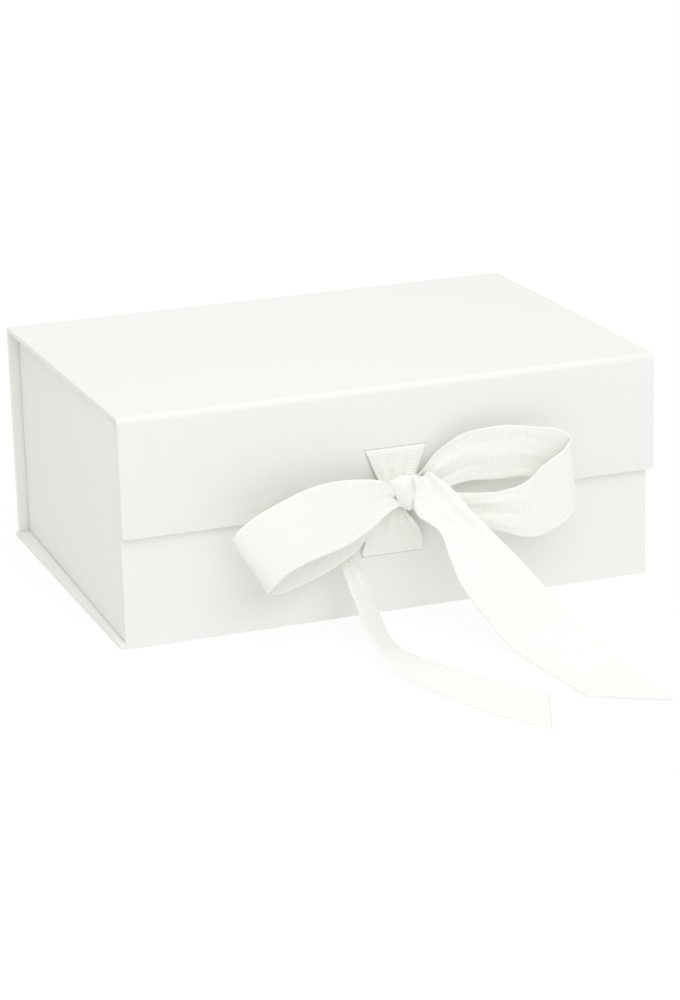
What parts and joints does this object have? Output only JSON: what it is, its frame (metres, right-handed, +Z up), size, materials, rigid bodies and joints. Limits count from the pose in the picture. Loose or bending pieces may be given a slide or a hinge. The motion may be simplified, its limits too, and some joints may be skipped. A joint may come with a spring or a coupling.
{
  "type": "favor box",
  "caption": "Rectangular paper-covered board favor box with a hinged lid, a folding front flap and a grosgrain ribbon tied in a bow through slits.",
  "frame": {"origin": "on the table, under the middle of the base", "axes": "+X along the width to the right seen from the front, +Y along the depth to the back hinge, +Z up"},
  "size_m": [0.2321, 0.3093, 0.0955],
  "materials": {
    "greyboard": "matt",
    "outer_paper": "matt",
    "lining_paper": "matt",
    "ribbon": "matt",
    "magnet": "satin"
  },
  "bodies": {
    "tray": {"base_board": "greyboard", "front_board": "greyboard", "back_board": "greyboard", "left_side_board": "greyboard", "right_side_board": "greyboard", "base_wrap": "outer_paper", "front_wrap": "outer_paper", "back_wrap": "outer_paper", "left_side_wrap": "outer_paper", "right_side_wrap": "outer_paper", "base_liner": "lining_paper", "front_liner": "lining_paper", "back_liner": "lining_paper", "left_side_liner": "lining_paper", "right_side_liner": "lining_paper", "left_base_tab": "lining_paper", "right_base_tab": "lining_paper", "left_back_tab": "lining_paper", "right_back_tab": "lining_paper", "wall_magnets": "magnet", "lower_ribbon": "ribbon"},
    "lid": {"lid_board": "greyboard", "lid_wrap": "outer_paper", "lid_liner": "lining_paper", "lid_hinge_paper": "outer_paper"},
    "flap": {"flap_board": "greyboard", "flap_wrap": "outer_paper", "flap_liner": "lining_paper", "flap_hinge_paper": "outer_paper", "flap_magnets": "magnet", "upper_ribbon": "ribbon", "bow_knot": "ribbon", "bow_left_loop": "ribbon", "bow_right_loop": "ribbon", "bow_left_tail": "ribbon", "bow_right_tail": "ribbon"}
  },
  "joints": [
    {"name": "lid_hinge", "type": "hinge", "parent": "tray", "child": "lid", "pos_m": [0, 0.0784, 0.0929], "axis": [-1, 0, 0], "range_deg": [0, 150], "deforming": ["lid_hinge_paper"]},
    {"name": "flap_hinge", "type": "hinge", "parent": "lid", "child": "flap", "pos_m": [0.0021, -0.0811, 0.0929], "axis": [-1, 0, 0], "range_deg": [0, 90], "deforming": ["flap_hinge_paper"]}
  ]
}
